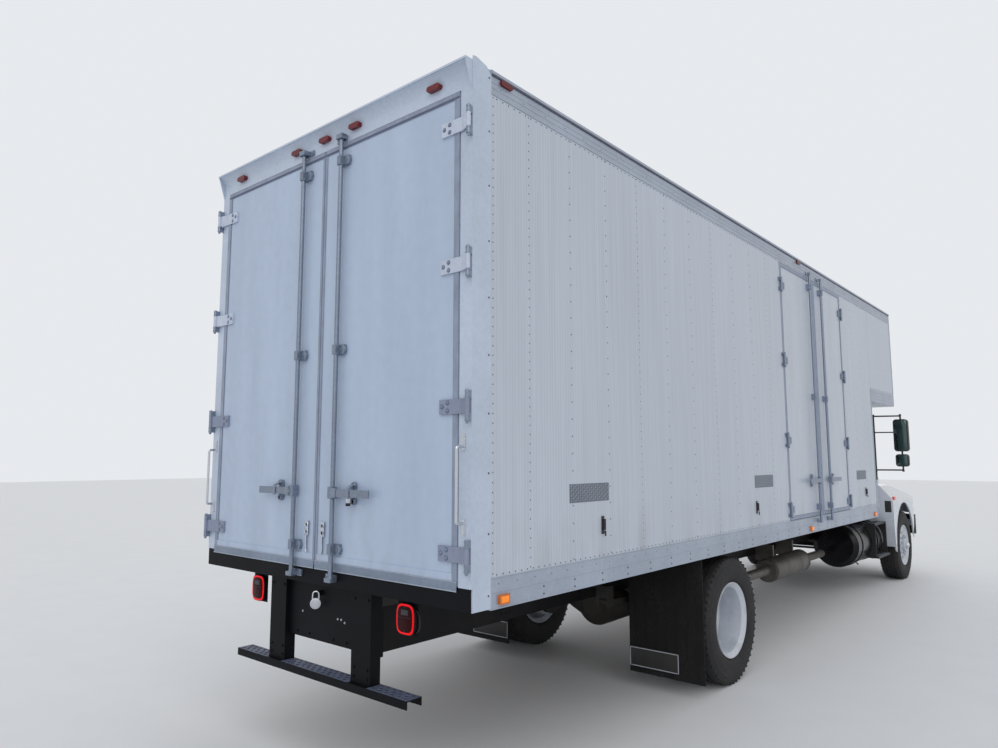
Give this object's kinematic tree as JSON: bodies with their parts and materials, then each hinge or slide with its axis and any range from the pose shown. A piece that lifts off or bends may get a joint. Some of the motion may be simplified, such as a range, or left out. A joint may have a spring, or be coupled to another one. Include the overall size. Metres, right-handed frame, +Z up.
{
  "type": "box truck",
  "caption": "Long straight truck with a conventional cab, twin rear wheels and a hollow box body with an attic over the cab, swinging rear doors and side doors.",
  "frame": {"origin": "on the road under the middle of the truck's overall length and width", "axes": "+X forward, +Y to the truck's left, +Z up"},
  "size_m": [10.964, 2.904, 3.985],
  "materials": {
    "frame_black": "satin",
    "body_white": "gloss",
    "cab_white": "gloss",
    "panel_white": "painted",
    "bare_metal": "satin",
    "hardware": "zinc plated",
    "rim_paint": "semi gloss",
    "tyre": "matt",
    "flap": "matt",
    "deck": "oiled",
    "glass": "tinted",
    "lens_red": "gloss",
    "lens_clear": "gloss",
    "trim_dark": "matt",
    "interior": "matt",
    "castings": "rough",
    "tank": "polished"
  },
  "bodies": {
    "chassis": {"chassis_frame": "frame_black", "rear_bumper": "frame_black", "tail_lamps": "lens_red", "leaf_springs": "castings", "rear_axle": "castings", "front_axle": "castings", "engine": "castings", "driveline": "castings", "side_tanks": "tank", "cab_steps": "trim_dark", "exhaust": "bare_metal", "front_bumper": "frame_black", "mud_flaps": "flap", "floor_deck": "deck", "floor_frame": "castings", "rear_frame": "body_white", "side_walls": "panel_white", "front_walls": "panel_white", "roof": "bare_metal", "top_rails": "bare_metal", "bottom_rails": "bare_metal", "marker_lamps": "lens_red", "body_fittings": "hardware", "grab_handles": "hardware", "cab_shell": "cab_white", "cab_glass": "glass", "cab_seats": "interior", "dashboard": "trim_dark"},
    "rear_door_left": {"rear_door_left": "panel_white", "rear_hardware_left": "hardware"},
    "rear_door_right": {"rear_door_right": "panel_white", "rear_hardware_right": "hardware"},
    "side_door_rear": {"side_door_rear": "panel_white", "side_hardware_rear": "hardware"},
    "side_door_front": {"side_door_front": "panel_white", "side_hardware_front": "hardware"},
    "cab_door_left": {"cab_door_left": "cab_white", "door_glass_left": "glass", "mirror_left": "trim_dark"},
    "cab_door_right": {"cab_door_right": "cab_white", "door_glass_right": "glass", "mirror_right": "trim_dark"},
    "hood": {"hood": "cab_white", "grille": "trim_dark", "headlamps": "lens_clear"},
    "knuckle_left": {"knuckle_left": "castings"},
    "knuckle_right": {"knuckle_right": "castings"},
    "tie_rod": {"tie_rod": "castings"},
    "front_wheel_left": {"front_rim_left": "rim_paint", "front_tyre_left": "tyre"},
    "front_wheel_right": {"front_rim_right": "rim_paint", "front_tyre_right": "tyre"},
    "rear_wheels_left": {"rear_rims_left": "rim_paint", "rear_tyres_left": "tyre"},
    "rear_wheels_right": {"rear_rims_right": "rim_paint", "rear_tyres_right": "tyre"}
  },
  "joints": [
    {"name": "rear_door_left_swing", "type": "hinge", "parent": "chassis", "child": "rear_door_left", "pos_m": [-5.452, 1.293, 2.475], "axis": [0, 0, -1], "range_deg": [0, 265]},
    {"name": "rear_door_right_swing", "type": "hinge", "parent": "chassis", "child": "rear_door_right", "pos_m": [-5.452, -1.293, 2.475], "axis": [0, 0, 1], "range_deg": [0, 265]},
    {"name": "side_door_rear_swing", "type": "hinge", "parent": "chassis", "child": "side_door_rear", "pos_m": [-0.842, -1.3115, 2.475], "axis": [0, 0, -1], "range_deg": [0, 174]},
    {"name": "side_door_front_swing", "type": "hinge", "parent": "chassis", "child": "side_door_front", "pos_m": [1.218, -1.3115, 2.475], "axis": [0, 0, 1], "range_deg": [0, 174]},
    {"name": "cab_door_left_swing", "type": "hinge", "parent": "chassis", "child": "cab_door_left", "pos_m": [3.728, 1.018, 1.5], "axis": [0, 0, -1], "range_deg": [0, 70]},
    {"name": "cab_door_right_swing", "type": "hinge", "parent": "chassis", "child": "cab_door_right", "pos_m": [3.728, -1.018, 1.5], "axis": [0, 0, 1], "range_deg": [0, 70]},
    {"name": "hood_tilt", "type": "hinge", "parent": "chassis", "child": "hood", "pos_m": [5.428, 0, 0.955], "axis": [0, 1, 0], "range_deg": [0, 55]},
    {"name": "steer_left", "type": "hinge", "parent": "chassis", "child": "knuckle_left", "pos_m": [4.486, 0.86, 0.505], "axis": [0, 0, 1], "range_deg": [-35, 35]},
    {"name": "steer_right", "type": "hinge", "parent": "chassis", "child": "knuckle_right", "pos_m": [4.486, -0.86, 0.505], "axis": [0, 0, 1], "range_deg": [-35, 35]},
    {"name": "tie_rod_pivot", "type": "hinge", "parent": "knuckle_left", "child": "tie_rod", "pos_m": [4.306, 0.86, 0.38], "axis": [0, 0, 1], "range_deg": [-35, 35]},
    {"name": "front_wheel_left_spin", "type": "hinge", "parent": "knuckle_left", "child": "front_wheel_left", "pos_m": [4.486, 1.04, 0.505], "axis": [0, 1, 0], "continuous": true},
    {"name": "front_wheel_right_spin", "type": "hinge", "parent": "knuckle_right", "child": "front_wheel_right", "pos_m": [4.486, -1.04, 0.505], "axis": [0, 1, 0], "continuous": true},
    {"name": "rear_wheels_left_spin", "type": "hinge", "parent": "chassis", "child": "rear_wheels_left", "pos_m": [-2.222, 0.98, 0.505], "axis": [0, 1, 0], "continuous": true},
    {"name": "rear_wheels_right_spin", "type": "hinge", "parent": "chassis", "child": "rear_wheels_right", "pos_m": [-2.222, -0.98, 0.505], "axis": [0, 1, 0], "continuous": true}
  ],
  "couplings": [
    {"joint": "steer_right", "follows": "steer_left", "ratio": 1},
    {"joint": "tie_rod_pivot", "follows": "steer_left", "ratio": -1}
  ]
}
